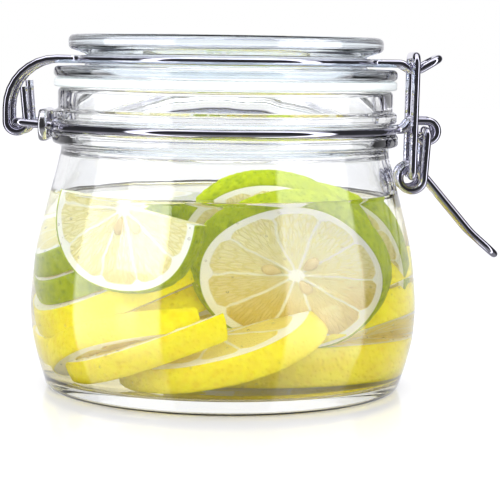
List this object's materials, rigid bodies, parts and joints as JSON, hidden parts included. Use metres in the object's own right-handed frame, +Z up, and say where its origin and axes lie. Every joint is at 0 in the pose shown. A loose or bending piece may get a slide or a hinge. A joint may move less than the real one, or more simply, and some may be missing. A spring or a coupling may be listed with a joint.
{
  "type": "hinged lid jar with citrus slices",
  "caption": "Round glass storage jar with a wire-hinged glass lid, gasket and lever latch, holding slices of lemon and lime.",
  "frame": {"origin": "on the axis of the jar, in the plane that it stands on", "axes": "+Z up along the axis of the jar, +X from the hinge towards the latch"},
  "size_m": [0.141, 0.1098, 0.0998],
  "materials": {
    "jar_glass": "clear pressed soda-lime glass, polished",
    "lid_glass": "clear pressed glass with a faint blue-green tint at its edges",
    "steel_wire": "bright stainless steel wire",
    "steel_clip": "bright stainless steel strip",
    "gasket": "translucent white silicone",
    "citrus": "wet cut lemon and lime",
    "lemon": "wet cut lemon, yellow peel and white pith",
    "lime": "wet cut lime, green peel and pale pith",
    "syrup": "clear liquid, faintly yellow"
  },
  "bodies": {
    "jar": {"jar_glass": "jar_glass", "neck_wire": "steel_wire", "hinge_clip": "steel_clip", "citrus_slices": "citrus"},
    "lid": {"lid_glass": "lid_glass", "gasket": "gasket", "lid_wire": "steel_wire"},
    "lever": {"latch_lever": "steel_wire"},
    "link": {"latch_link": "steel_wire"}
  },
  "joints": [
    {"name": "lid_hinge", "type": "hinge", "parent": "jar", "child": "lid", "pos_m": [-0.0587, 0, 0.0751], "axis": [0, -1, 0], "range_deg": [0, 105]},
    {"name": "lever_pivot", "type": "hinge", "parent": "jar", "child": "lever", "pos_m": [0.057, 0, 0.0739], "axis": [0, -1, 0], "range_deg": [0, 110]},
    {"name": "link_pivot", "type": "hinge", "parent": "lever", "child": "link", "pos_m": [0.05275, 0, 0.0613], "axis": [0, -1, 0], "range_deg": [-80, 0]}
  ],
  "couplings": [
    {"joint": "link_pivot", "follows": "lever_pivot", "ratio": -0.7}
  ]
}
